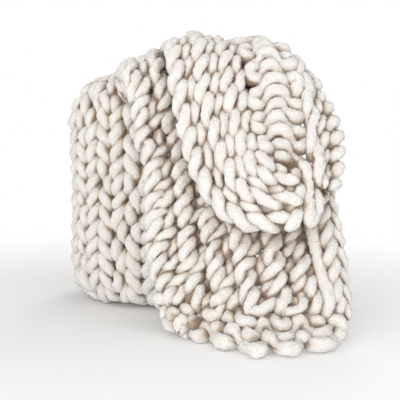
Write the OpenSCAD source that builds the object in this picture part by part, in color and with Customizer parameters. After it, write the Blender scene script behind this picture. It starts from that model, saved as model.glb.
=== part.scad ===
// Chunky hand-knitted throw blanket, bundled upright with one side spilling over the front.
// The tucked bundle stands on the floor, and the spill hangs over a front crest down to its hem.
// Every node is a run of the knitted fabric between two folds, drawn as a smooth thick layer.
// Origin: centre of the bundle's flat underside. +X right, +Y back, +Z up. Millimetres.

/* [Fabric] */
// Thickness of the knitted fabric, twice the yarn
fabric_t = 40; // [30:1:48]
// Thickness of the cast-on edge, one loop of yarn
edge_t = 26; // [20:1:34]
// Free space between two layers that hang over each other
layer_gap = 4; // [3:0.5:12]
// Free space between two runs of fabric that lie side by side
seam_gap = 2; // [1:0.5:6]

/* [Tucked bundle] */
// Outer radius of the bundle
bundle_r = 168; // [140:1:202]
// Height of the pad that the bundle stands on
base_h = 38; // [30:1:48]
// Rounding of the pad's lower edge
base_round = 28; // [10:1:29]
// Rounding of the wrap's upper edge
wrap_round = 18; // [8:1:26]
// Free width in front of the bundle, where a basket's wall stands
wall_slot = 32; // [26:1:60]

/* [Front crest] */
// Height of the fabric's middle where it crosses the crest
crest_h = 390; // [320:1:470]
// Radius of the bend over the crest
bend_r = 55; // [45:1:66]
// Flat run in front of the hinge line
front_flat = 15; // [10:1:30]
// Flat run behind the hinge line
back_flat = 40; // [30:1:48]
// Gap between the spill and the crest at the hinge line
hinge_gap = 1; // [0.6:0.2:3]

/* [Spill] */
// Width of the spill as a share of the drawn one
spill_width = 1; // [0.8:0.05:1.2]
// Lean of the spill's hanging part as a share of the drawn one
lean_share = 1; // [0.8:0.05:1.2]

/* [Hidden] */
layer_pitch = fabric_t + layer_gap;
// Centre height of the crest's bends
bend_z = crest_h - bend_r;
// The crest stands so far forward that the wall slot is free under its front bend
crest_y = bundle_r + wall_slot - front_flat - (bend_r - fabric_t / 2);
// Way along the crest where its back edge ends
back_end = 1.85;
// Part of the way round where the crest's flat run ends and its bend starts
bend_from = 0.2;
// The wrap ends just below the crest's back edge
back_end_angle = 90 * (2 - back_end) / (1 - bend_from);
wrap_top = bend_z + (bend_r - fabric_t / 2) * sin(back_end_angle) - seam_gap;
// Largest lift that a net gives a layer
top_lift = 24;
// The top fold starts behind the outermost crest layer
top_front = back_flat - crest_y + bend_r + layer_pitch + fabric_t / 2 + top_lift - 8;
// Distance in front of the bundle's centre that the left shoulder reaches
crest_side_reach = bundle_r - 34;
// Angles that the spill hangs at, out from the vertical, from its left to its right
lean_angles = [9, 11, 17, 24, 25, 21];
// Distance across of the first of those angles, and from each to the next
lean_from = -90;
lean_step = 76;
// Steps drawn between two points of a net, along it and across it
steps_along = 3;
steps_across = 2;
// Colours: pale cream on the outside, warmer where a layer lies in shade
cream = [0.93, 0.91, 0.88];
shade = [0.86, 0.81, 0.74];
deep = [0.78, 0.71, 0.62];
$fn = 96;

// A net is a list of rows along the wales. Each point is [across, way, lift]: across in mm,
// lift in mm above its layer, and way -1 at the hinge line, 0 at the foot of the front bend,
// 1 on the floor, and -2 at the foot of the back bend.
left_roll_net = [
    [[-60, -1.00, -4], [-32, -1.00, 20], [2, -1.00, 24]],
    [[-62, -0.45, -6], [-34, -0.45, 12], [4, -0.45, 12]],
    [[-48, 0.05, 8], [-24, 0.05, 6], [8, 0.05, 0]],
    [[-28, 0.24, 12], [-4, 0.24, 6], [26, 0.24, 0]],
    [[-12, 0.43, 14], [14, 0.43, 6], [42, 0.43, 0]],
    [[-8, 0.62, 14], [18, 0.62, 6], [50, 0.62, 0]],
    [[6, 0.81, 10], [32, 0.81, 4], [62, 0.81, 0]]
];
front_fall_net = [
    [[2, -1.00, 0], [45, -1.00, 0], [85, -1.00, 0], [125, -1.00, 0]],
    [[4, -0.45, 0], [48, -0.45, 0], [90, -0.45, 0], [130, -0.45, 0]],
    [[8, 0.05, 0], [52, 0.05, 0], [96, 0.05, 0], [138, 0.05, 0]],
    [[26, 0.24, 0], [68, 0.24, 0], [110, 0.24, 0], [152, 0.24, 0]],
    [[42, 0.43, 0], [86, 0.43, 0], [130, 0.43, 0], [170, 0.43, -6]],
    [[50, 0.62, 0], [94, 0.62, 0], [138, 0.62, 2], [180, 0.62, -8]],
    [[62, 0.81, 0], [104, 0.81, 0], [146, 0.81, 0], [190, 0.81, -4]]
];
right_fall_net = [
    [[125, -1.00, 0], [158, -1.00, 0], [190, -1.00, -4]],
    [[130, -0.45, 0], [164, -0.45, -4], [198, -0.45, -6]],
    [[138, 0.05, 0], [176, 0.05, -8], [212, 0.05, -6]],
    [[152, 0.24, 0], [188, 0.24, -14], [222, 0.24, -6]],
    [[170, 0.43, -6], [200, 0.43, -18], [230, 0.43, -6]],
    [[180, 0.62, -8], [206, 0.62, -18], [234, 0.62, -2]],
    [[190, 0.81, -4], [214, 0.81, -6], [238, 0.81, 0]]
];
right_strip_net = [
    [[230, 0.44, -6], [244, 0.44, 2], [256, 0.44, -4]],
    [[232, 0.56, -2], [246, 0.56, 6], [259, 0.56, 0]],
    [[236, 0.69, 0], [250, 0.69, 6], [263, 0.69, 2]],
    [[238, 0.81, 0], [252, 0.81, 4], [265, 0.81, 2]]
];
hem_net = [
    [[6, 0.82, 10], [62, 0.82, 0], [108, 0.82, 0], [152, 0.82, 0], [208, 0.82, -4], [265, 0.82, 2]],
    [[14, 0.86, 12], [64, 0.87, 4], [110, 0.87, 8], [156, 0.87, 10], [210, 0.87, 2], [264, 0.87, 4]],
    [[24, 0.91, 16], [68, 0.93, 12], [114, 0.93, 26], [158, 0.93, 30], [210, 0.93, 14], [262, 0.93, 10]]
];
cast_on_net = [
    [[24, 0.92, 16], [68, 0.94, 12], [114, 0.94, 26], [158, 0.94, 30], [210, 0.94, 14], [262, 0.94, 10]],
    [[40, 1.00, 26], [78, 1.00, 24], [118, 1.00, 44], [158, 1.00, 50], [210, 1.00, 30], [258, 1.00, 18]]
];
swag_net = [
    [[12, -1.00, 0], [45, -1.00, 14], [80, -1.00, 8], [112, -1.00, 0]],
    [[22, -0.45, 2], [58, -0.45, 12], [92, -0.45, 8], [126, -0.45, 0]],
    [[33, 0.02, 4], [66, 0.02, 10], [100, 0.02, 10], [133, 0.02, 2]],
    [[44, 0.19, 4], [77, 0.16, 10], [107, 0.13, 10], [136, 0.11, 2]],
    [[64, 0.385, 4], [96, 0.32, 10], [120, 0.27, 10], [142, 0.23, 2]],
    [[102, 0.52, 4], [122, 0.455, 10], [143, 0.39, 10], [160, 0.335, 2]],
    [[150, 0.57, 2], [160, 0.50, 8], [170, 0.43, 8], [180, 0.375, 2]],
    [[202, 0.545, -2], [202, 0.49, 4], [202, 0.44, 4], [202, 0.39, 0]]
];
inner_fold_net = [
    [[122, -1.00, 0], [148, -1.00, 8], [178, -1.00, 6], [200, -1.00, -8]],
    [[138, -0.45, 0], [164, -0.45, 4], [190, -0.45, 4], [212, -0.45, -4]],
    [[146, 0.02, 0], [170, 0.02, 2], [195, 0.02, 2], [217, 0.02, -2]],
    [[146, 0.11, 0], [171, 0.11, 2], [195, 0.11, 2], [218, 0.11, -2]],
    [[150, 0.21, 0], [173, 0.21, 2], [196, 0.21, 2], [218, 0.21, -2]],
    [[166, 0.29, 0], [184, 0.31, 2], [202, 0.325, 2], [219, 0.33, -2]]
];
loop_fold_net = [
    [[210, 0.36, 0], [220, 0.35, 2], [230, 0.36, -2]],
    [[211, 0.44, 2], [222, 0.44, 4], [233, 0.44, -2]],
    [[212, 0.51, 2], [222, 0.52, 4], [232, 0.52, -2]],
    [[214, 0.575, 0], [221, 0.585, 2], [228, 0.58, -2]]
];
right_fold_net = [
    [[206, -1.00, -40], [216, -1.00, -50], [225, -1.00, -62]],
    [[218, -0.45, -20], [230, -0.45, -32], [241, -0.45, -46]],
    [[230, 0.02, -4], [246, 0.02, -14], [258, 0.02, -28]],
    [[236, 0.11, 0], [255, 0.11, -6], [268, 0.11, -20]],
    [[238, 0.22, 2], [261, 0.22, -2], [278, 0.22, -14]],
    [[238, 0.33, 2], [261, 0.33, -2], [279, 0.33, -10]],
    [[238, 0.43, 0], [255, 0.43, -2], [269, 0.43, -8]]
];
left_crest_net = [
    [[-60, -1.00, -4], [-32, -1.00, 20], [2, -1.00, 24]],
    [[-66, -1.20, -4], [-36, -1.20, 16], [-2, -1.20, 20]],
    [[-72, -1.50, -6], [-40, -1.50, 6], [-4, -1.50, 10]],
    [[-76, -1.85, -8], [-42, -1.85, 0], [-6, -1.85, 4]]
];
under_crest_net = [
    [[2, -1.00, 0], [64, -1.00, 0], [125, -1.00, 0], [190, -1.00, -4]],
    [[2, -1.20, 0], [64, -1.20, 0], [125, -1.20, 0], [186, -1.20, -4]],
    [[-2, -1.50, 0], [58, -1.50, 0], [118, -1.50, 0], [172, -1.50, -4]],
    [[-4, -1.85, 0], [54, -1.85, 0], [110, -1.85, 0], [160, -1.85, -4]]
];
middle_crest_net = [
    [[12, -1.00, 0], [45, -1.00, 14], [80, -1.00, 8], [112, -1.00, 0]],
    [[8, -1.20, 0], [40, -1.20, 16], [76, -1.20, 10], [110, -1.20, 0]],
    [[4, -1.50, 0], [36, -1.50, 12], [72, -1.50, 8], [106, -1.50, 0]],
    [[2, -1.85, 0], [32, -1.85, 6], [68, -1.85, 4], [102, -1.85, 0]]
];
right_crest_net = [
    [[122, -1.00, 0], [148, -1.00, 8], [178, -1.00, 6], [200, -1.00, -8]],
    [[120, -1.20, 0], [146, -1.20, 12], [174, -1.20, 8], [196, -1.20, -8]],
    [[116, -1.50, 0], [140, -1.50, 8], [166, -1.50, 4], [186, -1.50, -10]],
    [[112, -1.85, 0], [134, -1.85, 4], [156, -1.85, 0], [174, -1.85, -10]]
];
side_crest_net = [
    [[206, -1.00, -40], [216, -1.00, -50], [225, -1.00, -62]],
    [[203, -1.20, -40], [213, -1.20, -52], [221, -1.20, -64]],
    [[196, -1.50, -44], [206, -1.50, -56], [214, -1.50, -68]]
];

// The top folds' nets: [across, way, lift] with across in percent of the half width of the bundle
// there, way -1 beside the crest, 0 behind it and 1 at the back, and lift in mm above the wrap.
left_shoulder_net = [
    [[-96, -0.96, 24], [-87, -0.96, 34], [-78, -0.96, 30]],
    [[-97, -0.75, 28], [-82, -0.75, 44], [-66, -0.75, 36]],
    [[-98, -0.50, 30], [-81, -0.50, 50], [-64, -0.50, 38]],
    [[-98, -0.25, 32], [-66, -0.25, 50], [-30, -0.25, 40]],
    [[-98, -0.02, 32], [-58, -0.02, 50], [-14, -0.02, 44]]
];
top_fold_net = [
    [[-98, 0.00, 32], [-50, 0.00, 50], [0, 0.00, 46], [50, 0.00, 38], [98, 0.00, 26]],
    [[-98, 0.40, 36], [-50, 0.40, 56], [0, 0.40, 52], [50, 0.40, 42], [98, 0.40, 28]],
    [[-98, 0.75, 30], [-50, 0.75, 48], [0, 0.75, 46], [50, 0.75, 38], [98, 0.75, 26]],
    [[-98, 0.97, 24], [-50, 0.97, 28], [0, 0.97, 30], [50, 0.97, 27], [98, 0.97, 24]]
];

// ---- surfaces ----

// Point between b and c on a smooth curve through a, b, c and d
function curve(a, b, c, d, f) =
    0.5 * (2 * b + (c - a) * f + (2 * a - 5 * b + 4 * c - d) * f * f + (3 * b - a - 3 * c + d) * f * f * f);

// Point at u on a smooth curve through the points p, u = 0 at the first
function along(p, u) =
    let (last = len(p) - 1, i = min(floor(u), last - 1))
    curve(
        i > 0 ? p[i - 1] : 2 * p[0] - p[1],
        p[i],
        p[i + 1],
        i + 2 <= last ? p[i + 2] : 2 * p[last] - p[last - 1],
        u - i
    );

// Point of a net at u along its rows and v across them
function net_point(net, u, v) = along([for (row = net) along(row, v)], u);

// Hanging angle at a distance across
function lean_angle(across) = lean_share * along(lean_angles, (across - lean_from) / lean_step);

// Place on the spill: over the front bend, then down the leaning front to the floor
function spill_point(across, way, lift) =
    let (r = bend_r + lift, lean = lean_angle(across), flat_end = bend_from - 1)
    let (turn = (90 - lean) * (way - flat_end) / -flat_end, front_y = -crest_y - front_flat)
    way <= flat_end
        ? [across * spill_width, -crest_y - hinge_gap / 2 - front_flat * (way + 1) / bend_from, bend_z + r]
        : way <= 0
            ? [across * spill_width, front_y - r * sin(turn), bend_z + r * cos(turn)]
            : let (foot_z = bend_z + r * sin(lean))
              [across * spill_width, front_y - r * cos(lean) - way * foot_z * tan(lean), foot_z * (1 - way)];

// Place on the crest: back from the hinge line, then down the back bend
function crest_point(across, way, lift) =
    let (r = bend_r + lift, flat_end = -1 - bend_from)
    let (turn = 90 * (flat_end - way) / (1 - bend_from), back_y = back_flat - crest_y)
    way >= flat_end
        ? [across * spill_width, hinge_gap / 2 - crest_y + back_flat * (-1 - way) / bend_from, bend_z + r]
        : [across * spill_width, back_y + r * sin(turn), bend_z + r * cos(turn)];

// Place on the bundle's top, behind the crest or beside it
function top_point(across, way, lift) =
    let (y = top_front + way * (way > 0 ? bundle_r - top_front : top_front + crest_side_reach))
    [across / 100 * sqrt(max(0, bundle_r * bundle_r - y * y)), y, wrap_top + lift];

function place(kind, p) =
    kind == "spill" ? spill_point(p[0], p[1], p[2])
    : kind == "crest" ? crest_point(p[0], p[1], p[2])
    : top_point(p[0], p[1], p[2]);

// ---- building blocks ----

// A closed layer of fabric on a net: its two faces lie half a thickness either side of the net,
// and its edges stand back so that it clears the runs beside it
module fabric(net, kind, layer, thick = fabric_t) {
    rows = (len(net) - 1) * steps_along;
    cols = (len(net[0]) - 1) * steps_across;
    span = net[0][len(net[0]) - 1][0] - net[0][0][0];
    edge = seam_gap / 2 / span * (len(net[0]) - 1);
    side = rows * (cols + 1) + cols + 1;
    points = [
        for (face = [1, -1])
            for (i = [0:rows])
                for (j = [0:cols])
                    let (v = edge + (len(net[0]) - 1 - 2 * edge) * j / cols)
                    let (p = net_point(net, (len(net) - 1) * i / rows, v))
                    place(kind, p + [0, 0, layer * layer_pitch + face * thick / 2])
    ];
    top = [
        for (i = [0:rows - 1])
            for (j = [0:cols - 1])
                let (a = i * (cols + 1) + j)
                each [[a, a + 1, a + cols + 2], [a, a + cols + 2, a + cols + 1]]
    ];
    bottom = [for (f = top) [f[0] + side, f[2] + side, f[1] + side]];
    rim = concat(
        [for (j = [0:cols]) j],
        [for (i = [1:rows]) i * (cols + 1) + cols],
        [for (j = [cols - 1:-1:0]) rows * (cols + 1) + j],
        [for (i = [rows - 1:-1:1]) i * (cols + 1)]
    );
    walls = [
        for (k = [0:len(rim) - 1])
            let (a = rim[k], b = rim[(k + 1) % len(rim)])
            each [[a, a + side, b + side], [a, b + side, b]]
    ];
    polyhedron(points, concat(top, bottom, walls));
}

// Half of the wrap, a bent wall with a rounded upper edge
module half_wrap() {
    gap_angle = seam_gap / bundle_r * 180 / PI;
    wall_h = wrap_top - base_h - 2 * seam_gap;
    rotate([0, 0, gap_angle / 2 - 90])
        rotate_extrude(angle = 180 - gap_angle)
            translate([bundle_r - fabric_t, base_h + seam_gap]) {
                square([fabric_t, wall_h - wrap_round]);
                square([fabric_t - wrap_round, wall_h]);
                translate([fabric_t - wrap_round, wall_h - wrap_round])
                    circle(wrap_round);
            }
}

// One upright folded layer of the core: 0 at the front, 1 in the middle, 2 at the back
module core_layer(i) {
    core_r = bundle_r - fabric_t - layer_gap;
    pitch = 2 * core_r / 3;
    translate([0, 0, base_h + seam_gap])
        linear_extrude(wrap_top - base_h - 2 * seam_gap)
            intersection() {
                circle(core_r);
                translate([-core_r, -core_r + i * pitch + seam_gap / 2])
                    square([2 * core_r, pitch - seam_gap]);
            }
}

// ---- tucked bundle ----

// Pad under the bundle, flat below, with a rounded lower edge
module base_fold() {
    color(shade)
        rotate_extrude() {
            translate([0, base_round])
                square([bundle_r, base_h - base_round]);
            square([bundle_r - base_round, base_h]);
            intersection() {
                translate([bundle_r - base_round, base_round])
                    circle(base_round);
                translate([bundle_r - base_round, 0])
                    square(base_round);
            }
        }
}

// Left half of the layer wrapped round the core
module left_wrap() {
    color(cream)
        mirror([1, 0, 0])
            half_wrap();
}

// Right half of the layer wrapped round the core
module right_wrap() {
    color(cream)
        half_wrap();
}

// Front layer folded inside the wrap
module front_core() {
    color(deep)
        core_layer(0);
}

// Middle layer folded inside the wrap
module middle_core() {
    color(deep)
        core_layer(1);
}

// Back layer folded inside the wrap
module back_core() {
    color(deep)
        core_layer(2);
}

// Domed fold that closes the bundle behind the crest
module top_fold() {
    color(cream)
        fabric(top_fold_net, "top", 0);
}

// Rounded fold beside the crest, at the bundle's left
module left_shoulder() {
    color(cream)
        fabric(left_shoulder_net, "top", 0);
}

// ---- crest, behind the hinge line ----

// Left shoulder of the crest, where the rolled side edge starts
module left_crest() {
    color(cream)
        fabric(left_crest_net, "crest", 0);
}

// Layer that runs on from the front fall under the two humps
module under_crest() {
    color(deep)
        fabric(under_crest_net, "crest", 0);
}

// Left hump, where the swag's ropes start
module middle_crest() {
    color(cream)
        fabric(middle_crest_net, "crest", 1);
}

// Right hump, above the inner fold
module right_crest() {
    color(cream)
        fabric(right_crest_net, "crest", 1);
}

// Low shoulder at the right, where the right fold starts
module side_crest() {
    color(shade)
        fabric(side_crest_net, "crest", 1);
}

// ---- spill, in front of the hinge line ----

// Rolled side edge down the left of the spill
module left_roll() {
    color(cream)
        fabric(left_roll_net, "spill", 0);
}

// Broad knit-side panel of the spill
module front_fall() {
    color(cream)
        fabric(front_fall_net, "spill", 0);
}

// Valley between the broad panel and the right strip
module right_fall() {
    color(shade)
        fabric(right_fall_net, "spill", 0);
}

// Upright wale down the spill's right edge
module right_strip() {
    color(cream)
        fabric(right_strip_net, "spill", 0);
}

// Lumpy band of purl rows above the hem
module hem() {
    color(cream)
        fabric(hem_net, "spill", 0);
}

// Cast-on edge, the row of loops that lies on the floor
module cast_on_edge() {
    color(cream)
        fabric(cast_on_net, "spill", 0, edge_t);
}

// Swag of gathered ropes that swings down from the left hump and round to the right
module swag() {
    color(cream)
        fabric(swag_net, "spill", 1);
}

// Purl-side fold inside the swag's bend
module inner_fold() {
    color(shade)
        fabric(inner_fold_net, "spill", 1);
}

// Short loop of one wale that hangs at the swag's right end
module loop_fold() {
    color(cream)
        fabric(loop_fold_net, "spill", 1);
}

// Right-hand fold with the scalloped bound-off edge
module right_fold() {
    color(cream)
        fabric(right_fold_net, "spill", 1);
}

base_fold();
left_wrap();
right_wrap();
front_core();
middle_core();
back_core();
top_fold();
left_shoulder();
left_crest();
under_crest();
middle_crest();
right_crest();
side_crest();
left_roll();
front_fall();
right_fall();
right_strip();
hem();
cast_on_edge();
swag();
inner_fold();
loop_fold();
right_fold();
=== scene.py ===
"""Looks of the chunky knitted throw: every run of fabric is knitted from one thick chenille yarn."""
import math

import bpy
import numpy as np
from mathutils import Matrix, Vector, kdtree


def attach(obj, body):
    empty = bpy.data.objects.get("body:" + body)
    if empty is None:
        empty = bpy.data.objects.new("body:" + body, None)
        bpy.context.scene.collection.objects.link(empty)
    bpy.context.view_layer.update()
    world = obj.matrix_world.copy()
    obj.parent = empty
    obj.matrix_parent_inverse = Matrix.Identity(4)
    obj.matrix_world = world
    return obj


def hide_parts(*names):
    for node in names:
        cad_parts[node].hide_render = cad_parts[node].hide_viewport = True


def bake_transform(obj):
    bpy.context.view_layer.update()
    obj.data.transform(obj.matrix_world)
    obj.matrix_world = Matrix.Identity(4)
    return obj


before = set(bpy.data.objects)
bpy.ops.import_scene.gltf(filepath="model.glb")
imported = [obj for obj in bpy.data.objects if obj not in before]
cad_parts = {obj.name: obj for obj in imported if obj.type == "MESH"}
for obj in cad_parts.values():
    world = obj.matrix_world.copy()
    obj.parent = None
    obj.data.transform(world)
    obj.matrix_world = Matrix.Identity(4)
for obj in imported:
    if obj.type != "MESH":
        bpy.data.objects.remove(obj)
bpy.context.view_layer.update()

# ---- sizes repeated from the CAD, in millimetres; MM turns them into metres ----
MM = 0.001
LAYER_PITCH = 44.0
BEND_R = 55.0
BEND_Z = 335.0
CREST_Y = 150.0
FRONT_FLAT = 15.0
BACK_FLAT = 40.0
BEND_FROM = 0.2
BACK_TURNS = 1.3               # how far the fabric may turn down behind the crest, in quarter turns
BUNDLE_R = 168.0
LEAN_ANGLES = np.array([9.0, 11, 17, 24, 25, 21])
LEAN_FROM = -90.0
LEAN_STEP = 76.0
TAU = 2 * math.pi

# Nets of the runs of fabric: [across, way, lift], rows along the wales. They are the CAD's nets, joined over
# the hinge line and then reshaped. Way is -1 on the crest, 0 at the foot of the bend, 1 on the floor.
SHEET = [
    [[-70, -1.85, -26], [-78, -1.85, -10], [-62, -1.85, -2], [-32, -1.85, 0],
     [10, -1.85, -4], [54, -1.85, -8], [110, -1.85, -8], [160, -1.85, -10]],
    [[-66, -1.50, -24], [-74, -1.50, -10], [-56, -1.50, 0], [-26, -1.50, 6],
     [12, -1.50, -4], [58, -1.50, -8], [118, -1.50, -8], [172, -1.50, -10]],
    [[-56, -1.20, -24], [-66, -1.20, -10], [-48, -1.20, 8], [-18, -1.20, 23],
     [14, -1.20, 20], [64, -1.20, -8], [125, -1.20, -8], [184, -1.20, -10]],
    [[-48, -1.00, -24], [-60, -1.00, -12], [-42, -1.00, 11], [-12, -1.00, 26],
     [18, -1.00, 20], [64, -1.00, -8], [125, -1.00, -8], [188, -1.00, -10]],
    [[-34, -0.45, -22], [-47, -0.45, -10], [-32, -0.45, 8], [-8, -0.45, 12],
     [22, -0.45, -4], [66, -0.45, -10], [130, -0.45, -8], [198, -0.45, -10]],
    [[-16, 0.05, -16], [-29, 0.05, -2], [-17, 0.05, 12], [7, 0.05, 4],
     [32, 0.05, -12], [74, 0.05, -12], [136, 0.05, -8], [208, 0.05, -10]],
    [[0, 0.24, -14], [-12, 0.24, 0], [0, 0.24, 14], [25, 0.24, 4],
     [50, 0.24, -10], [92, 0.24, -8], [150, 0.24, -6], [216, 0.24, -14]],
    [[5, 0.43, -12], [-6, 0.43, 2], [9, 0.43, 16], [36, 0.43, 6],
     [62, 0.43, -4], [104, 0.43, -2], [164, 0.43, -6], [220, 0.43, -25]],
    [[4, 0.62, -10], [-8, 0.62, 4], [10, 0.62, 16], [40, 0.62, 8],
     [70, 0.62, 0], [112, 0.62, 0], [172, 0.62, -6], [224, 0.62, -25]],
    [[14, 0.81, -4], [6, 0.81, 8], [24, 0.81, 14], [52, 0.81, 8],
     [82, 0.81, 2], [124, 0.81, 2], [184, 0.81, 0], [248, 0.81, -4]],
    [[27, 0.92, 8], [38, 0.92, 12], [52, 0.92, 16], [64, 0.93, 14],
     [92, 0.93, 16], [134, 0.93, 28], [190, 0.93, 18], [256, 0.93, 10]],
    [[48, 0.985, 20], [58, 0.985, 24], [70, 0.985, 24], [78, 0.985, 24],
     [106, 0.985, 34], [142, 0.985, 50], [194, 0.985, 34], [250, 0.985, 20]],
]
SWAG = [
    [[2, -1.85, 0], [32, -1.85, 6], [68, -1.85, 4], [102, -1.85, 0]],
    [[4, -1.50, -4], [36, -1.50, 8], [72, -1.50, 6], [106, -1.50, -12]],
    [[8, -1.20, -6], [40, -1.20, 12], [76, -1.20, 6], [110, -1.20, -14]],
    [[12, -1.00, -6], [45, -1.00, 10], [80, -1.00, 4], [112, -1.00, -14]],
    [[22, -0.45, 2], [58, -0.45, 12], [92, -0.45, 8], [126, -0.45, 0]],
    [[33, 0.02, 4], [66, 0.02, 10], [100, 0.02, 10], [133, 0.02, 2]],
    [[44, 0.19, 4], [77, 0.16, 10], [107, 0.13, 10], [136, 0.11, 2]],
    [[64, 0.385, 4], [96, 0.32, 10], [120, 0.27, 10], [142, 0.23, 2]],
    [[102, 0.52, 4], [122, 0.455, 10], [143, 0.39, 10], [160, 0.335, 2]],
    [[150, 0.57, 2], [160, 0.50, 8], [170, 0.43, 8], [180, 0.375, 2]],
    [[202, 0.545, -2], [202, 0.49, 4], [202, 0.44, 4], [202, 0.39, 0]],
]
INNER = [
    [[108, -1.85, 0], [134, -1.85, 4], [156, -1.85, 0], [174, -1.85, -10]],
    [[110, -1.50, -6], [138, -1.50, 4], [156, -1.50, 2], [168, -1.50, -14]],
    [[113, -1.20, -6], [143, -1.20, 6], [162, -1.20, 4], [177, -1.20, -14]],
    [[115, -1.00, -6], [145, -1.00, 4], [163, -1.00, 2], [177, -1.00, -14]],
    [[131, -0.45, 0], [160, -0.45, 4], [181, -0.45, 4], [197, -0.45, -6]],
    [[146, 0.02, 0], [170, 0.02, 2], [194, 0.02, 2], [214, 0.02, -2]],
    [[146, 0.11, 0], [171, 0.11, 2], [195, 0.11, 2], [218, 0.11, -2]],
    [[150, 0.21, 0], [173, 0.21, 2], [196, 0.21, 2], [218, 0.21, -2]],
    [[160, 0.34, -2], [182, 0.375, -2], [202, 0.395, -2], [219, 0.40, -4]],
]
STRIP = [
    [[228, 0.38, -6], [242, 0.38, 2], [256, 0.38, -4]],
    [[230, 0.44, -6], [244, 0.44, 2], [258, 0.44, -4]],
    [[232, 0.56, -2], [248, 0.56, 6], [262, 0.56, 0]],
    [[236, 0.69, 0], [252, 0.69, 6], [267, 0.69, 2]],
    [[240, 0.83, 0], [256, 0.83, 4], [268, 0.83, 2]],
]
LOOP = [
    [[210, 0.36, 0], [220, 0.35, 2], [230, 0.36, -2]],
    [[211, 0.44, 2], [222, 0.44, 4], [233, 0.44, -2]],
    [[212, 0.51, 2], [222, 0.52, 4], [232, 0.52, -2]],
    [[214, 0.575, 0], [221, 0.585, 2], [228, 0.58, -2]],
]
RIGHT = [
    [[186, -1.50, -44], [196, -1.50, -56], [204, -1.50, -68]],
    [[192, -1.20, -40], [202, -1.20, -52], [210, -1.20, -64]],
    [[196, -1.00, -40], [206, -1.00, -50], [214, -1.00, -62]],
    [[208, -0.45, -20], [220, -0.45, -32], [230, -0.45, -46]],
    [[221, 0.02, -4], [238, 0.02, -14], [251, 0.02, -28]],
    [[227, 0.11, 0], [251, 0.11, -6], [268, 0.11, -20]],
    [[228, 0.22, 2], [258, 0.22, -2], [278, 0.22, -14]],
    [[229, 0.33, 1], [259, 0.33, -2], [279, 0.33, -10]],
    [[233, 0.43, 0], [254, 0.43, -2], [269, 0.43, -8]],
]

rng = np.random.default_rng(7)


# ---- surfaces the fabric lies on ----

def weights(f):
    """Weights of the four points round a place on the CAD's smooth curve."""
    before, here = -f + 2 * f**2 - f**3, 2 - 5 * f**2 + 3 * f**3
    ahead, beyond = f + 4 * f**2 - 3 * f**3, -f**2 + f**3
    return 0.5 * np.stack([before, here, ahead, beyond])


def grown(p):
    """A list of points with one more at each end, in line with the last two."""
    return np.concatenate([2 * p[:1] - p[1:2], p, 2 * p[-1:] - p[-2:-1]])


def along(points, u):
    """Points at u on the smooth curve through points."""
    p = grown(np.asarray(points, float))
    i = np.clip(np.floor(u).astype(int), 0, len(p) - 4)
    w = weights(u - i)
    w = w.reshape(w.shape + (1,) * (p.ndim - 1))
    return sum(w[k] * p[i + k] for k in range(4))


def net_point(net, u, v):
    """Points of a net at u along its rows and v across them."""
    p = grown(np.asarray(net, float))
    p = np.swapaxes(grown(np.swapaxes(p, 0, 1)), 0, 1)
    i = np.clip(np.floor(u).astype(int), 0, p.shape[0] - 4)
    j = np.clip(np.floor(v).astype(int), 0, p.shape[1] - 4)
    wu, wv = weights(u - i), weights(v - j)
    return sum((wu[a] * wv[b])[:, None] * p[i + a, j + b] for a in range(4) for b in range(4))


def draped(p):
    """Places on the crest and the spill of net points, in millimetres."""
    across, way, lift = p.T
    r = BEND_R + lift
    lean = np.radians(along(LEAN_ANGLES, (across - LEAN_FROM) / LEAN_STEP))
    bend = 1 - BEND_FROM
    turn = (math.pi / 2 - lean) * np.clip((way + bend) / bend, 0, 1)
    front_y = -CREST_Y - FRONT_FLAT
    foot_z = BEND_Z + r * np.sin(lean)
    back_turn = math.pi / 2 * np.clip((-1 - BEND_FROM - way) / bend, 0, BACK_TURNS)
    y = np.select(
        [way > 0, way > -bend, way > -1, way > -1 - BEND_FROM],
        [front_y - r * np.cos(lean) - way * foot_z * np.tan(lean), front_y - r * np.sin(turn),
         -CREST_Y - FRONT_FLAT * (way + 1) / BEND_FROM, -CREST_Y + BACK_FLAT * (-1 - way) / BEND_FROM],
        BACK_FLAT - CREST_Y + r * np.sin(back_turn))
    z = np.select(
        [way > 0, way > -bend, way > -1 - BEND_FROM],
        [foot_z * (1 - way), BEND_Z + r * np.cos(turn), BEND_Z + r],
        BEND_Z + r * np.cos(back_turn))
    return np.stack([across, y, z], 1)


def on_net(net, layer):
    """The surface of a net in one of the two layers."""
    lift = np.array([0, 0, layer * LAYER_PITCH])

    def surface(u, v, z):
        p = net_point(net, u, v) + lift
        p[:, 2] += z
        return draped(p)
    return surface


# Wall of the bundle from its rim down: [radius, height] of the fabric's middle
WALL = [
    [100, 382], [127, 370], [146, 344], [152, 308], [151, 250],
    [150, 180], [151, 100], [149, 52], [138, 27], [112, 18],
]
PLEATS = 7
PLEAT_DEEP = 3.5
PLEAT_SLANT = 0.004            # turn of the pleats round the wall, in radians for each mm of height


def wall(u, v, z):
    """The bundle's wall: u down the profile, v round it from its back, with shallow pleats."""
    profile = np.asarray(WALL, float)
    near = 0.02
    at, step = along(profile, u), along(profile, u + near) - along(profile, u - near)
    out = np.stack([-step[:, 1], step[:, 0]], 1) / np.linalg.norm(step, axis=1, keepdims=True)
    turn = TAU * v + math.pi / 2
    middle = np.sin(np.clip(u / (len(WALL) - 1), 0, 1) * math.pi)
    pleat = PLEAT_DEEP * np.sin(PLEATS * turn + PLEAT_SLANT * at[:, 1]) * middle
    r = at[:, 0] + out[:, 0] * z + pleat
    return np.stack([r * np.cos(turn), r * np.sin(turn), at[:, 1] + out[:, 1] * z], 1)


def flat(height, x0, x1, y0, y1, up=1):
    """A level or domed sheet: u runs from x0 to x1, v from y0 to y1, at height(x, y)."""
    def surface(u, v, z):
        x, y = x0 + (x1 - x0) * u, y0 + (y1 - y0) * v
        return np.stack([x, y, height(x, y) + up * z], 1)
    return surface


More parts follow.
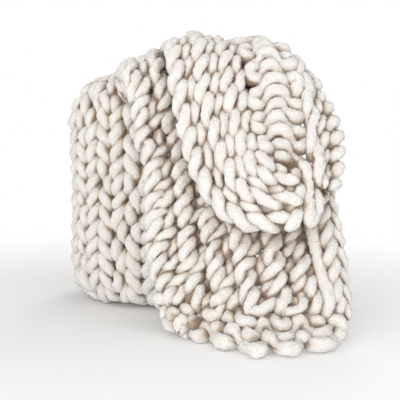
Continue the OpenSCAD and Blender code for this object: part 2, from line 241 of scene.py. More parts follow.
DOME_FOOT = 330
DOME_HIGH = 52
DOME_LEVEL = 0.12              # where the dome levels off towards the rim


def dome(x, y):
    """Height of the middle of the fabric that closes the bundle."""
    return DOME_FOOT + DOME_HIGH * np.sqrt(np.clip(1 - (x * x + y * y) / BUNDLE_R**2, DOME_LEVEL, 1))


MEASURED = 161, 41             # places along and across a surface at which a cloth's size is measured


class Cloth:
    """A run of fabric on a surface. q counts rows up from the bottom end of the net and g counts wales."""

    def __init__(self, surface, u_end, v_end, wales, pitch):
        self.surface, self.wales = surface, wales
        u, v = (np.linspace(0, end, count) for end, count in zip((u_end, v_end), MEASURED))
        grid = surface(*(a.ravel() for a in np.meshgrid(u, v, indexing="ij")), 0.0).reshape(*MEASURED, 3)
        down = np.concatenate([[0], np.cumsum(np.linalg.norm(np.diff(grid, axis=0), axis=2).mean(1))])
        over = np.concatenate([[0], np.cumsum(np.linalg.norm(np.diff(grid, axis=1), axis=2).mean(0))])
        self.u, self.down, self.v, self.over = u, down, v, over
        self.rows = max(1, round(down[-1] / pitch))

    def at(self, g, q, z):
        """Points at wale g, row q and z mm in front of the fabric's middle, and the way out from it there."""
        s = self.down[-1] * (1 - q / self.rows)
        u = np.interp(s, self.down, self.u)
        u += (s - np.clip(s, 0, self.down[-1])) * (self.u[-1] / self.down[-1])
        w = self.over[-1] * g / self.wales
        v = np.interp(w, self.over, self.v)
        v += (w - np.clip(w, 0, self.over[-1])) * (self.v[-1] / self.over[-1])
        low, high = self.surface(u, v, z), self.surface(u, v, z + 1.0)
        out = high - low
        return low, out / np.linalg.norm(out, axis=1, keepdims=True)


def net_cloth(net, layer, wales, pitch):
    """A cloth over the whole of a net, with rows about a pitch in mm apart."""
    return Cloth(on_net(net, layer), len(net) - 1, len(net[0]) - 1, wales, pitch)


# ---- yarn ----

POINTS = 24                    # points of yarn drawn for each stitch
STITCH_POINTS = 9              # points of yarn over which a stitch strays one way
STRAY = 0.03, 0.06, 1.2        # how far it strays at a looseness of 1: in wales, in rows and in mm of depth
PAST_EDGE = 0.12               # how far a row may pass its cloth's side edges, in wales
ROW_TURN = 0.1                 # how far past the edge the yarn turns back into the next row, in wales


def wobble(n, every, size):
    """Smooth random offsets for n points, a new one each few points."""
    return along(rng.normal(0, size, n // every + 3), np.arange(n) / every)


class Stitch:
    """How one stitch lies: a loop's spread and lean in wales, its height in rows, its depth in mm."""

    def __init__(self, spread=0.13, lean=0.0, high=0.95, deep=9.0, twist=0.0, heads=0.0, front=1, loose=1.0):
        self.spread, self.lean, self.high, self.deep = spread, lean, high, deep
        self.twist, self.heads, self.front, self.loose = twist, heads, front, loose

    def path(self, q, start, wales):
        """Wale, row, depth and how far to the front, -1 to 1, along one row of stitches."""
        t = np.linspace(0, TAU * wales, round(POINTS * wales) + 1)
        stray = [wobble(len(t), STITCH_POINTS, size * self.loose) for size in STRAY]
        g = t / TAU + self.spread * np.sin(2 * t) - self.lean * np.cos(t) + stray[0]
        g = start + np.clip(g, -PAST_EDGE, wales + PAST_EDGE)
        y = q + 0.5 - self.high * np.cos(t) + stray[1]
        leg = -self.front * np.cos(2 * t)
        z = self.deep * leg + self.twist * np.sin(t) - self.heads * np.cos(t) + stray[2]
        return g, y, z, leg


class Strand:
    """A path of yarn: points in mm, the way out of the fabric, and how far to its front, -1 to 1."""

    def __init__(self, points, out, leg):
        self.points, self.out, self.leg = points, out, leg

    def joined(self, other):
        return Strand(*(np.concatenate([a, b]) for a, b in zip(self.parts(), other.parts())))

    def parts(self):
        return self.points, self.out, self.leg

    def evened(self, step):
        """The same path with points at an even step."""
        parts = self.parts()
        for _ in range(2):
            gap = np.concatenate([[0], np.cumsum(np.linalg.norm(np.diff(parts[0], axis=0), axis=1))])
            n = max(4, round(gap[-1] / step))
            u = np.interp(np.linspace(0, gap[-1], n + 1), gap, np.arange(len(gap)))
            parts = [along(part, u) for part in parts]
        return Strand(*parts)


def knit(cloth, stitch, first=0, last=None, ends=None, drop=0.0, tail=None):
    """One yarn knitted to and fro over a cloth, from a tail if there is one.

    ends(row) says where a row starts and stops. tail lists the wales, rows and depths the yarn comes from.
    """
    strand = None
    if tail:
        points, out = cloth.at(*(np.array(numbers, float) for numbers in tail))
        strand = Strand(points, out, np.zeros(len(points)))
    for row in range(first, cloth.rows if last is None else last):
        start, stop = ends(row) if ends else (0, cloth.wales)
        g, q, z, leg = stitch.path(row - drop, start, stop - start)
        points, out = cloth.at(g, q, z)
        parts = [points, out, leg]
        if row % 2:
            parts = [part[::-1] for part in parts]
        if strand and row > first:
            edge = max(stop, before[1]) + ROW_TURN if row % 2 else min(start, before[0]) - ROW_TURN
            turn, turn_out = cloth.at(np.array([edge]), np.array([row + 0.0]), np.array([0.0]))
            strand = strand.joined(Strand(turn, turn_out, np.zeros(1)))
        before = start, stop
        strand = strand.joined(Strand(*parts)) if strand else Strand(*parts)
    return strand


def knit_round(cloth, stitch):
    """One yarn knitted round and round, in a spiral from the bottom up."""
    g, y, z, leg = stitch.path(0, 0, cloth.wales * cloth.rows)
    points, out = cloth.at(g, y + g / cloth.wales, z)
    return Strand(points, out, leg)


LINE_POINTS = 90
STRAY_TURN = 12, 0.25          # points over which a ply's twist strays one way, and by how many radians
STRAY_SIDE = 8, 0.8            # the same for its place, in mm
STRAY_THICK = 5, 0.04          # the same for a yarn's thickness, as a share
PLY_STEP = 5.0                 # mm between the points of a twisted ply
YARN_STEP = 6.0                # mm between the points of a yarn that is ready to be relaxed
PLAIN_STEP = 4.0               # mm between the rings of a yarn's mesh, where nothing else is said


def line(cloth, g, q, z=0.0):
    """A path over a cloth through the wales g and rows q, z mm in front of its middle, with the way out."""
    u = np.linspace(0, len(g) - 1, LINE_POINTS)
    lift = along(np.broadcast_to(z, len(g)), u)
    return cloth.at(along(g, u), along(q, u), lift)


def twisted(path, period, wide, deep, plies=2, hand=1, phase=0.0):
    """Plies twisted round each other along a path. hand 1 leans them down to the right."""
    points, out = path
    base = Strand(points, out, np.zeros(len(points))).evened(PLY_STEP)
    c, n = base.points, len(base.points)
    tangent = np.gradient(c, axis=0)
    tangent /= np.linalg.norm(tangent, axis=1, keepdims=True)
    across = np.cross(base.out, tangent)
    across /= np.linalg.norm(across, axis=1, keepdims=True)
    s = np.arange(n) * PLY_STEP
    strands = []
    wide = along(np.broadcast_to(wide, max(2, np.size(wide))), np.linspace(0, max(1, np.size(wide) - 1), n))
    for k in range(plies):
        turn = TAU * (s / period + k / plies) + phase + wobble(n, *STRAY_TURN)
        side = wide * np.cos(turn) * hand + wobble(n, *STRAY_SIDE)
        z = deep * np.sin(turn) + wobble(n, *STRAY_SIDE)
        strands.append(Strand(c + across * side[:, None] + base.out * z[:, None], base.out, np.sin(turn)))
    return strands


def tree_of(points):
    """A tree in which the points near a place can be looked up."""
    tree = kdtree.KDTree(len(points))
    for i, co in enumerate(points):
        tree.insert(co, i)
    tree.balance()
    return tree


class Yarn:
    """One yarn: its path, its radius in mm at each point, and the piece it belongs to."""

    def __init__(self, piece, strand, radius, fat, ring_step):
        self.piece, self.strand, self.ring_step = piece, strand.evened(YARN_STEP), ring_step
        n = len(self.strand.points)
        self.radius = radius * (1 + fat * self.strand.leg + wobble(n, *STRAY_THICK))


ROUNDS = 5                     # times the neighbours are looked up again
TRIES = 5                      # moves between two look-ups
CLOSE = 0.88                   # how near two yarns may come, as a share of both radii
NEXT_POINTS = 5                # points of one yarn this near along it don't push each other
PUSH = 0.22                    # share of what is missing that one move makes up
MOST_PUSH = 6                  # mm
MOST_MOVE = 3                  # mm
HOLD = 0.05                    # pull back to where the yarn was laid
SMOOTH = 0.18                  # share of each bend taken out by one move
SHARP = 1.6                    # mm off the straight at which a bend is a sharp one
SMOOTH_SHARP = 0.42            # the same share for a sharp bend
FLOOR_GAP = 2                  # mm kept for the pile's lumps above the floor


def relax(yarns):
    """Pushes yarns that run into each other apart, as the soft pile does, and keeps each one smooth."""
    p = np.concatenate([y.strand.points for y in yarns])
    r = np.concatenate([y.radius for y in yarns])
    yarn = np.concatenate([np.full(len(y.radius), i) for i, y in enumerate(yarns)])
    rest = p.copy()
    inner = np.flatnonzero(yarn[:-2] == yarn[2:]) + 1
    reach = 2 * r.max() * CLOSE + MOST_MOVE
    for _ in range(ROUNDS):
        near = tree_of(p)
        found = ((i, j) for i, co in enumerate(p) for _, j, _ in near.find_range(co, reach) if j > i)
        a, b = np.array(list(found)).T
        apart = (yarn[a] != yarn[b]) | (b - a > NEXT_POINTS)
        a, b = a[apart], b[apart]
        want = (r[a] + r[b]) * CLOSE
        for _ in range(TRIES):
            d = p[a] - p[b]
            gap = np.linalg.norm(d, axis=1)
            push = np.clip(want - gap, 0, MOST_PUSH)[:, None] * d / np.maximum(gap, 0.1)[:, None] * PUSH
            move = np.stack([np.bincount(a, w, len(p)) - np.bincount(b, w, len(p)) for w in push.T], 1)
            size = np.linalg.norm(move, axis=1, keepdims=True)
            p += move * np.minimum(1, MOST_MOVE / np.maximum(size, 1e-6))
            p += HOLD * (rest - p)
            bend = (p[inner - 1] + p[inner + 1]) / 2 - p[inner]
            sharp = np.linalg.norm(bend, axis=1, keepdims=True) > SHARP
            p[inner] += np.where(sharp, SMOOTH_SHARP, SMOOTH) * bend
            p[:, 2] = np.maximum(p[:, 2], r + FLOOR_GAP)
    at = 0
    for y in yarns:
        y.strand.points = p[at:at + len(y.radius)]
        at += len(y.radius)


# ---- meshes ----

SIDES = 16                     # corners round a yarn
LUMPS = (0.9, 17), (0.8, 9.0), (0.55, 5.5)      # height and size in mm of the lumps of the pile
WAVES = 10                     # waves added up for each kind of lump
LONG_WAVE, SHORT_WAVE = 0.6, 1.5                # range of their wave numbers, against the lump's own
ROUGH_LEVEL = 3.2              # brings the sum of the waves to between about -1 and 1
TIP = 0.35                     # thickness of a yarn's very end, as a share
TIP_GROWS = 0.3                # share of the thickness it gains at each ring from there
# The painted shade given to the middles of a yarn's two end caps
TIP_SHADE = 0.5                # how closed in a yarn's very end counts as
SLANT = [0.3, 0.5, 0.8]        # any direction that no yarn starts along
noise_dirs = rng.normal(0, 1, (len(LUMPS), WAVES, 3))
noise_turns = rng.uniform(0, TAU, (len(LUMPS), WAVES))


def rough(p, size, kind):
    """Smooth noise between about -1 and 1 at points p, with lumps of that size in mm."""
    k = noise_dirs[kind] / np.linalg.norm(noise_dirs[kind], axis=1, keepdims=True) * (TAU / size)
    k = k * np.linspace(LONG_WAVE, SHORT_WAVE, WAVES)[:, None]
    return np.sin(p @ k.T + noise_turns[kind]).sum(1) / ROUGH_LEVEL


# Probes held out from the skin for the painted shade: how far in mm, the gap to a yarn at which the shade
# starts there, the mm over which it grows, and its share of the whole
SHADE_PROBES = ((7.0, 15.0, 8.0, 0.45), (17.0, 23.0, 11.0, 0.3), (50.0, 56.0, 30.0, 0.50))


def painted_shade(centre, out, r, tree):
    """Painted shade for each point of a yarn's skin, from 0: how closed in it is, near other yarns or deep
    between them.
    """
    c, o = centre[::2], out[::2, ::2]
    total = np.zeros(o.shape[:2])
    for reach, near, span, share in SHADE_PROBES:
        probe = c[:, None] + o * (r[::2, None, None] + reach)
        gap = np.array([tree.find(p)[2] for p in probe.reshape(-1, 3)]).reshape(total.shape)
        total += share * np.clip((near - gap) / span, 0, 1)
    rings = np.linspace(0, len(c) - 1, len(centre))
    whole = np.zeros(out.shape[:2])
    whole[:, ::2] = np.stack([np.interp(rings, np.arange(len(c)), w) for w in total.T], 1)
    whole[:, 1::2] = (whole[:, ::2] + np.roll(whole[:, ::2], -1, axis=1)) / 2
    return whole


def tube(yarn, tree):
    """Vertices, faces, lengthwise places and painted shade of a yarn's mesh, with its pile's lumps."""
    strand = yarn.strand
    gap = np.concatenate([[0], np.cumsum(np.linalg.norm(np.diff(strand.points, axis=0), axis=1))])
    n = max(4, round(gap[-1] / yarn.ring_step))
    u = np.interp(np.linspace(0, gap[-1], n + 1), gap, np.arange(len(gap)))
    c = along(strand.points, u)
    r = np.interp(u, np.arange(len(yarn.radius)), yarn.radius)
    fade = np.minimum(1, np.minimum(np.arange(n + 1), np.arange(n, -1, -1)) * TIP_GROWS + TIP)
    r = r * fade
    tangent = np.gradient(c, axis=0)
    tangent /= np.linalg.norm(tangent, axis=1, keepdims=True)
    side = np.zeros_like(c)
    now = np.cross(tangent[0], SLANT)
    for i, t in enumerate(tangent):
        now = now - t * (now @ t)
        now /= math.sqrt(now @ now)
        side[i] = now
    other = np.cross(tangent, side)
    a = np.linspace(0, TAU, SIDES, endpoint=False)
    out = side[:, None] * np.cos(a)[None, :, None] + other[:, None] * np.sin(a)[None, :, None]
    ring = c[:, None] + out * r[:, None, None]
    skin = ring.reshape(-1, 3)
    lump = sum(high * rough(skin, size, kind) for kind, (high, size) in enumerate(LUMPS))
    ring = ring + out * (lump.reshape(n + 1, SIDES) * fade[:, None])[..., None]
    verts = np.concatenate([ring.reshape(-1, 3), c[:1], c[-1:]])
    skin_shade = np.append(painted_shade(c, out, r, tree).ravel(), [TIP_SHADE, TIP_SHADE])
    i, k = np.meshgrid(np.arange(n), np.arange(SIDES), indexing="ij")
    row, after = i * SIDES, (k + 1) % SIDES
    quads = np.stack([row + k, row + after, row + SIDES + after, row + SIDES + k], -1).reshape(-1, 4)
    return verts, quads, np.linspace(0, gap[-1], n + 1), skin_shade


# The layout for baking: yarns run on one after another along strips of this height
UV_HIGH = 68.0                 # mm
UV_POINT = 6.4                 # mm of strip kept for each point of a yarn
UV_GAP = 8                     # mm between two yarns
UV_SPARE = 1.02                # room for strips that don't divide evenly
UV_LONG = 0.985                # share of the layout's width that a strip fills
UV_MARGIN, UV_FILL = 0.03, 0.94                 # a strip's lower margin, and the share of it the yarn fills


def build(name, yarns, material, tree):
    """A mesh object of these yarns, with its own layout of yarn strips for baking."""
    length = sum(len(y.radius) * UV_POINT + UV_GAP for y in yarns)
    side = math.sqrt(length * UV_HIGH) * UV_SPARE
    rows = math.ceil(length / side) + 1
    verts, faces, caps, uv, painted_shades = [], [], [], [], []
    count, run = 0, 0.0
    k = np.arange(SIDES)
    y0, y1 = k / SIDES * UV_FILL + UV_MARGIN, (k + 1) / SIDES * UV_FILL + UV_MARGIN
    for y in yarns:
        v, f, s, skin_shade = tube(y, tree)
        n, ends = len(s) - 1, len(v) - 2
        s = s + run
        strip = np.floor(s[:-1] / side)
        x0, x1 = ((at - strip * side) / side * UV_LONG for at in (s[:-1], s[1:]))
        quad = np.zeros((n, SIDES, 4, 2))
        quad[:, :, :2, 0], quad[:, :, 2:, 0] = x0[:, None, None], x1[:, None, None]
        quad[:, :, 0, 1] = quad[:, :, 3, 1] = (strip[:, None] + y0) / rows
        quad[:, :, 1, 1] = quad[:, :, 2, 1] = (strip[:, None] + y1) / rows
        uv.append(quad.reshape(-1, 2))
        first = np.stack([np.full(SIDES, ends), (k + 1) % SIDES, k], 1)
        final = np.stack([np.full(SIDES, ends + 1), n * SIDES + k, n * SIDES + (k + 1) % SIDES], 1)
        for cap, ring in ((first, 0), (final, n - 1)):
            caps.append((cap + count, np.repeat([[x0[ring], strip[ring] / rows]], SIDES * 3, 0)))
        verts.append(v)
        painted_shades.append(skin_shade)
        faces.append(f + count)
        count += len(v)
        run = s[-1] + UV_GAP
    verts, faces = np.concatenate(verts), np.concatenate(faces)
    tris = np.concatenate([c[0] for c in caps])
    corner = np.concatenate([faces.ravel(), tris.ravel()]).astype(np.int32)
    start = np.concatenate([np.arange(len(faces)) * 4, len(faces) * 4 + np.arange(len(tris)) * 3])
    start = start.astype(np.int32)
    mesh = bpy.data.meshes.new(name)
    mesh.vertices.add(len(verts))
    mesh.vertices.foreach_set("co", (verts * MM).astype(np.float32).ravel())
    mesh.loops.add(len(corner))
    mesh.loops.foreach_set("vertex_index", corner)
    mesh.polygons.add(len(start))
    mesh.polygons.foreach_set("loop_start", start)
    mesh.update(calc_edges=True)
    mesh.shade_smooth()
    layer = mesh.uv_layers.new(name="OFBake")
    places = np.concatenate([np.concatenate(uv), np.concatenate([c[1] for c in caps])])
    layer.uv.foreach_set("vector", places.astype(np.float32).ravel())
    # The fold attribute holds the painted shade of every point: how closed in it is by other yarns
    fold = mesh.attributes.new("fold", "FLOAT", "POINT")
    fold.data.foreach_set("value", np.concatenate(painted_shades).astype(np.float32))
    mesh.materials.append(material)
    obj = bpy.data.objects.new(name, mesh)
    bpy.context.scene.collection.objects.link(obj)
    return obj


# ---- materials ----

def yarn_material(name, light, warm, shade, gap, deep):
    """Chenille: clumped pile with a soft sheen, and painted shade: warmer tan in the folds between two yarns
    and brown deep down between them.

    light is the pile's own colour, warm comes in wide patches and shade between its tufts; gap and deep are
    the painted shade.
    """
    m = bpy.data.materials.new(name)
    m.use_nodes = True
    nodes, links = m.node_tree.nodes, m.node_tree.links
    shader = nodes["Principled BSDF"]
    shader.inputs["Roughness"].default_value = 0.92
    shader.inputs["Sheen Weight"].default_value = 0.4
    shader.inputs["Sheen Roughness"].default_value = 0.45
    shader.inputs["Sheen Tint"].default_value = (1.0, 0.98, 0.95, 1)
    shader.inputs["Specular IOR Level"].default_value = 0.15
    where = nodes.new("ShaderNodeTexCoord")

    def noise(scale, detail):
        n = nodes.new("ShaderNodeTexNoise")
        n.inputs["Scale"].default_value = scale
        n.inputs["Detail"].default_value = detail
        links.new(where.outputs["Object"], n.inputs["Vector"])
        return n.outputs["Fac"]

    def spread(value, low, high, start, end):
        n = nodes.new("ShaderNodeMapRange")
        for key, number in (("From Min", low), ("From Max", high), ("To Min", start), ("To Max", end)):
            n.inputs[key].default_value = number
        links.new(value, n.inputs["Value"])
        return n.outputs["Result"]

    def mixed(a, b, factor):
        n = nodes.new("ShaderNodeMix")
        n.data_type = "RGBA"
        if isinstance(a, tuple):
            n.inputs["A"].default_value = (*a, 1)
        else:
            links.new(a, n.inputs["A"])
        n.inputs["B"].default_value = (*b, 1)
        links.new(factor, n.inputs["Factor"])
        return n.outputs["Result"]

    def sum_of(a, weight, b):
        n = nodes.new("ShaderNodeMath")
        n.operation = "MULTIPLY_ADD"
        n.inputs[1].default_value = weight
        links.new(a, n.inputs[0])
        links.new(b, n.inputs[2])
        return n.outputs[0]

    # Noise about 30, 7 and 2.5 mm wide
    patch, tuft, pile = noise(34.0, 3.0), noise(150.0, 2.0), noise(420.0, 4.0)
    colour = mixed(light, warm, spread(patch, 0.35, 0.75, 0.0, 0.6))
    colour = mixed(colour, shade, spread(pile, 0.30, 0.62, 0.7, 0.0))
    # Painted shade: the fold attribute says how closed in by other yarns each point is; there the colour
    # turns to gap, then deep
    fold = nodes.new("ShaderNodeAttribute")
    fold.attribute_name = "fold"
    depth = sum_of(tuft, 0.3, fold.outputs["Fac"])
    colour = mixed(colour, gap, spread(depth, 0.46, 1.25, 0.0, 0.72))
    colour = mixed(colour, deep, spread(depth, 0.88, 1.3, 0.0, 0.9))
    links.new(colour, shader.inputs["Base Color"])
    bump = nodes.new("ShaderNodeBump")
    bump.inputs["Strength"].default_value = 0.9
    bump.inputs["Distance"].default_value = 0.005
    links.new(sum_of(tuft, 0.6, pile), bump.inputs["Height"])
    links.new(bump.outputs["Normal"], shader.inputs["Normal"])
    return m


cream = yarn_material(
    "cream_chenille",
    light=(0.90, 0.887, 0.867),
    warm=(0.85, 0.80, 0.74),
    shade=(0.77, 0.715, 0.65),
    # gap and deep are painted shade, tan and dark brown where yarns lie close together
    gap=(0.60, 0.48, 0.35),
    deep=(0.25, 0.16, 0.10),
)

# ---- the runs of fabric ----

yarns = []


def add(piece, strands, radius, fat=0.10, ring_step=PLAIN_STEP):
    """Gives a piece these strands of yarn. fat is the share by which they are thicker at the front."""
    for strand in strands if isinstance(strands, list) else [strands]:
        yarns.append(Yarn(piece, strand, radius, fat, ring_step))


# Front of the spill, knit side out, with purl rows and the cast-on edge at its foot. The hem's yarn comes
# out from behind its left corner.
HEM_ROWS = 3
sheet = net_cloth(SHEET, 0, wales=6.3, pitch=26.0)
fall_stitch = Stitch(spread=0.03, lean=0.45, high=0.82, deep=8.0, twist=-4.5, loose=1.6)
hem_stitch = Stitch(spread=0.04, high=0.85, deep=8.0, front=-1, loose=1.5)
add("front_knit", knit(sheet, fall_stitch, HEM_ROWS, drop=0.45), 8.8, fat=-0.05)
foot = net_cloth(SHEET, 0, wales=5.5, pitch=27.0)
HEM_TAIL = [0.55, 0.3, 0.02], [0.9, 0.5, 0.0], [-12, -12, -4]
add("hem_knit", knit(foot, hem_stitch, 0, HEM_ROWS, tail=HEM_TAIL), 9.2)

# Swag of gathered wales, each drawn up into a rope: its place across, half width, radius of its yarn and lift
ROPE_PHASE = 1.9               # turn of each rope's twist against the last one's, in radians
swag = net_cloth(SWAG, 1, wales=1, pitch=30.0)
ROPES = [
    (0.09, 4.5, 8.8, 0), (0.27, 2.5, 7.6, -5), (0.42, 3.5, 8.2, 1),
    (0.60, 3.0, 7.8, -2), (0.76, 3.5, 8.2, 1), (0.93, 3.0, 8.2, 0),
]
for k, (g, wide, radius, lift) in enumerate(ROPES):
    path = line(swag, [g] * 4, [-0.1, swag.rows / 3, swag.rows / 1.5, swag.rows], lift - 3)
    add("swag_ropes", twisted(path, period=70.0, wide=wide, deep=6.5, phase=ROPE_PHASE * k), radius)
path = line(swag, [-0.12, 0.3, 0.7, 1.1], [0.25, 0.05, 0.05, 0.15], 0)
add("swag_ropes", twisted(path, period=60.0, wide=4.0, deep=6.0, phase=0.5), 8.0)

# Inner fold, purl side out
inner = net_cloth(INNER, 1, wales=1.0, pitch=22.0)
bumps = Stitch(spread=0.07, high=0.70, deep=6.5, front=-1, heads=-1.0, loose=1.2)
add("inner_knit", knit(inner, bumps, first=-1), 9.2, fat=0.2)

# Right fold: the scallops of the bound-off edge, a middle strand and a plain one. Each has its wales, its
# lifts and the shares of the rows where its tucked end lies, then its period, width, depth, plies and radius.
right = net_cloth(RIGHT, 1, wales=1, pitch=25.0)
EDGE = [
    ([0.60, 0.62, 0.48, 0.2, -0.6], [-2, -2, -2, -8, -26], (0.93, 1.04),
     24.0, [10, 13, 12, 5, 2, 1], 7.0, 1, 8.2),
    ([0.32, 0.34, 0.25, 0.0, -0.5], [-5, -5, -5, -10, -26], (0.84, 0.93),
     56.0, 2.5, 5.0, 2, 7.2),
    ([0.04, 0.0, 0.0, -0.2, -0.6], [3, 3, 3, -6, -28], (0.76, 0.82),
     120.0, 2.0, 4.0, 2, 7.4),
]
for wales, lifts, tucked, period, wide, deep, plies, radius in EDGE:
    rows = [0.0, right.rows / 3, right.rows / 1.5] + [right.rows * share for share in tucked]
    add("scallop_edge", twisted(line(right, wales, rows, lifts), period, wide, deep, plies), radius)

# Loop of one wale at the swag's right end
loop = net_cloth(LOOP, 1, wales=1, pitch=25.0)
loop_rows = [loop.rows + 0.2, 2.0, 0.7, 0.3, 0.7, 2.0, loop.rows + 0.2]
path = line(loop, [0.1, 0.05, 0.2, 0.5, 0.8, 0.95, 0.9], loop_rows, 4)
add("end_loop", twisted(path, period=60.0, wide=1.5, deep=2.0, plies=1), 8.4)

# Right strip: a plain strand and a chain of V stitches
strip = net_cloth(STRIP, 0, wales=1, pitch=27.0)
rows = [-1.1, strip.rows / 2, strip.rows + 0.3]
add("strip_chain", twisted(line(strip, [0.0, 0.02, -0.05], rows, 5), 110.0, 1.5, 2.0, plies=1), 8.8)
add("strip_chain", twisted(line(strip, [0.50, 0.52, 0.50], rows, 2), 54.0, 3.0, 5.0, hand=1), 7.4)
add("strip_chain", twisted(line(strip, [0.98, 1.0, 0.98], rows, 0), 54.0, 3.0, 5.0, hand=-1), 7.4)

# Bundle: its wall knitted round, its top and underside knitted flat, and the fabric folded inside
jersey = Stitch(spread=0.14, high=0.95, deep=8.5, loose=0.8)
around = Cloth(wall, len(WALL) - 1, 1, wales=18, pitch=27.0)
add("wall_knit", knit_round(around, jersey), 9.4, ring_step=5.0)


SHORTEST = 40.0                # half length in mm of the shortest row of a round cloth
WALE, ROW = 54.0, 27.0         # mm
BASE_Z, CORE_Z = 17.0, 333.0
CREST_LEFT, CREST_BACK = -76, -36


def within(cloth, square, radius, y_from=None):
    """Start and end wales of each row of a flat cloth, so that it stays in a circle and behind y_from(x)."""
    x0, x1, y0, y1 = square

    def ends(row):
        x = x0 + (x1 - x0) * (1 - (row + 0.5) / cloth.rows)
        reach = math.sqrt(max(radius**2 - x * x, SHORTEST**2))
        front = max(-reach, y_from(x)) if y_from else -reach
        return tuple((y - y0) / (y1 - y0) * cloth.wales for y in (front, reach))
    return ends


def flat_knit(piece, height, radius, stitch, yarn_radius, up=1, y_from=None):
    """A flat or domed piece knitted to and fro within a circle round the bundle's axis."""
    square = -radius, radius, -radius, radius
    cloth = Cloth(flat(height, *square, up), 1, 1, 2 * radius / WALE, ROW)
    add(piece, knit(cloth, stitch, ends=within(cloth, square, radius, y_from)), yarn_radius)


def behind_crest(x):
    """Where the top's fabric starts: behind the crest, but at the rim where it passes left of the crest."""
    return -math.inf if x < CREST_LEFT else CREST_BACK


def level(z):
    """The height of a level sheet, at any x and y."""
    return lambda x, y: z + 0 * x


low_stitch = Stitch(spread=0.13, high=0.9, deep=6.5)
flat_knit("top_knit", dome, 116, jersey, 9.4, y_from=behind_crest)
flat_knit("base_knit", level(BASE_Z), 122, low_stitch, 9.2, up=-1)
flat_knit("core_knit", level(CORE_Z), 128, low_stitch, 9.0)

relax(yarns)
laid = tree_of(np.concatenate([y.strand.points for y in yarns]))
pieces = {}
for name in dict.fromkeys(y.piece for y in yarns):
    pieces[name] = build(name, [y for y in yarns if y.piece == name], cream, laid)

# ---- what the pieces stand for and how they move ----

# The CAD's parts that each piece stands for; they are hidden
STANDS_FOR = {
    "front_knit": ("left_crest", "left_roll", "under_crest", "front_fall", "right_fall"),
    "hem_knit": ("hem", "cast_on_edge"),
    "swag_ropes": ("middle_crest", "swag"),
    "inner_knit": ("right_crest", "inner_fold"),
    "scallop_edge": ("side_crest", "right_fold"),
    "end_loop": ("loop_fold",),
    "strip_chain": ("right_strip",),
    "wall_knit": ("left_wrap", "right_wrap"),
    "top_knit": ("top_fold", "left_shoulder"),
    "base_knit": ("base_fold",),
    "core_knit": ("front_core", "middle_core", "back_core"),
}
for name, piece in pieces.items():
    if name in ("hem_knit", "end_loop", "strip_chain"):
        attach(piece, "spill")
    elif name in ("wall_knit", "top_knit", "base_knit", "core_knit"):
        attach(piece, "bundle")
    else:
        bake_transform(piece)
    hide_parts(*STANDS_FOR[name])

# ---- floor, lights, surroundings and camera, in metres ----

# The floor fades into the white background between these distances from the bundle's axis
FADE_FROM = 0.2
FADE_TO = 1.2

floor_mesh = bpy.data.meshes.new("floor")
floor_mesh.from_pydata([(-40, -20, 0), (40, -20, 0), (40, 60, 0), (-40, 60, 0)], [], [(0, 1, 2, 3)])
floor = bpy.data.objects.new("floor", floor_mesh)
bpy.context.scene.collection.objects.link(floor)
paint = bpy.data.materials.new("floor_paint")
paint.use_nodes = True
nodes, links = paint.node_tree.nodes, paint.node_tree.links
nodes["Principled BSDF"].inputs["Base Color"].default_value = (0.96, 0.96, 0.96, 1)
nodes["Principled BSDF"].inputs["Roughness"].default_value = 0.9
far = nodes.new("ShaderNodeEmission")
far.inputs["Color"].default_value = (1, 1, 1, 1)
place = nodes.new("ShaderNodeTexCoord")
length = nodes.new("ShaderNodeVectorMath")
length.operation = "LENGTH"
fade = nodes.new("ShaderNodeMapRange")
fade.interpolation_type = "SMOOTHSTEP"
fade.inputs["From Min"].default_value = FADE_FROM
fade.inputs["From Max"].default_value = FADE_TO
mix = nodes.new("ShaderNodeMixShader")
links.new(place.outputs["Object"], length.inputs[0])
links.new(length.outputs["Value"], fade.inputs["Value"])
links.new(fade.outputs["Result"], mix.inputs[0])
links.new(nodes["Principled BSDF"].outputs[0], mix.inputs[1])
links.new(far.outputs[0], mix.inputs[2])
links.new(mix.outputs[0], nodes["Material Output"].inputs["Surface"])
floor_mesh.materials.append(paint)


LIGHT_SIZE = 1.2               # metres


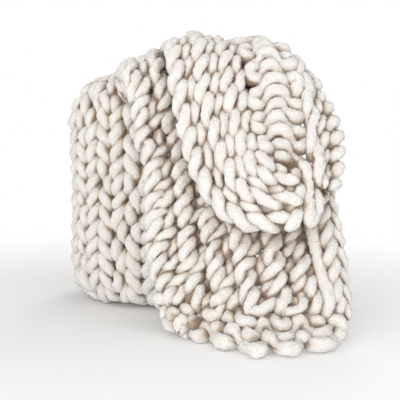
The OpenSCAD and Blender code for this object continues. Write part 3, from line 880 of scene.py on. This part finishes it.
def soft_light(name, place, target, power, colour):
    """A square soft light at a place, facing a target."""
    light = bpy.data.lights.new(name, "AREA")
    light.size = LIGHT_SIZE
    light.energy = power
    light.color = colour
    obj = bpy.data.objects.new(name, light)
    obj.location = place
    obj.rotation_euler = (Vector(target) - Vector(place)).to_track_quat("-Z", "Y").to_euler()
    bpy.context.scene.collection.objects.link(obj)


soft_light("key", (0.9, -1.0, 1.9), (0.1, -0.15, 0.25), 5, (1.0, 0.985, 0.965))
soft_light("fill", (-1.4, -1.9, 1.2), (0.1, -0.15, 0.2), 7.5, (1.0, 0.995, 0.99))
soft_light("front", (-0.2, -2.2, 0.25), (0.1, -0.2, 0.1), 35, (1.0, 0.985, 0.97))
soft_light("back", (0.5, 2.0, 1.3), (0.0, 0.0, 0.2), 16, (1.0, 0.99, 0.98))

# White to the camera, and a soft light from all round to everything else
world = bpy.data.worlds.new("studio")
world.use_nodes = True
nodes, links = world.node_tree.nodes, world.node_tree.links
nodes["Background"].inputs["Color"].default_value = (1, 1, 1, 1)
nodes["Background"].inputs["Strength"].default_value = 0.58
seen = nodes.new("ShaderNodeBackground")
seen.inputs["Color"].default_value = (1, 1, 1, 1)
ray = nodes.new("ShaderNodeLightPath")
both = nodes.new("ShaderNodeMixShader")
links.new(ray.outputs["Is Camera Ray"], both.inputs[0])
links.new(nodes["Background"].outputs[0], both.inputs[1])
links.new(seen.outputs[0], both.inputs[2])
links.new(both.outputs[0], nodes["World Output"].inputs["Surface"])
bpy.context.scene.world = world
bpy.context.scene.view_settings.view_transform = "Standard"

SENSOR = 36.0                  # mm
FOCAL = 1.7925                 # focal length as a share of the sensor's width
LOOKS_DOWN = 3.6               # degrees

lens = bpy.data.cameras.new("camera")
lens.sensor_width = SENSOR
lens.lens = SENSOR * FOCAL
camera = bpy.data.objects.new("camera", lens)
camera.location = (0.069, -1.34, 0.261)
camera.rotation_euler = (math.radians(90 - LOOKS_DOWN), 0, 0)
bpy.context.scene.collection.objects.link(camera)
bpy.context.scene.camera = camera
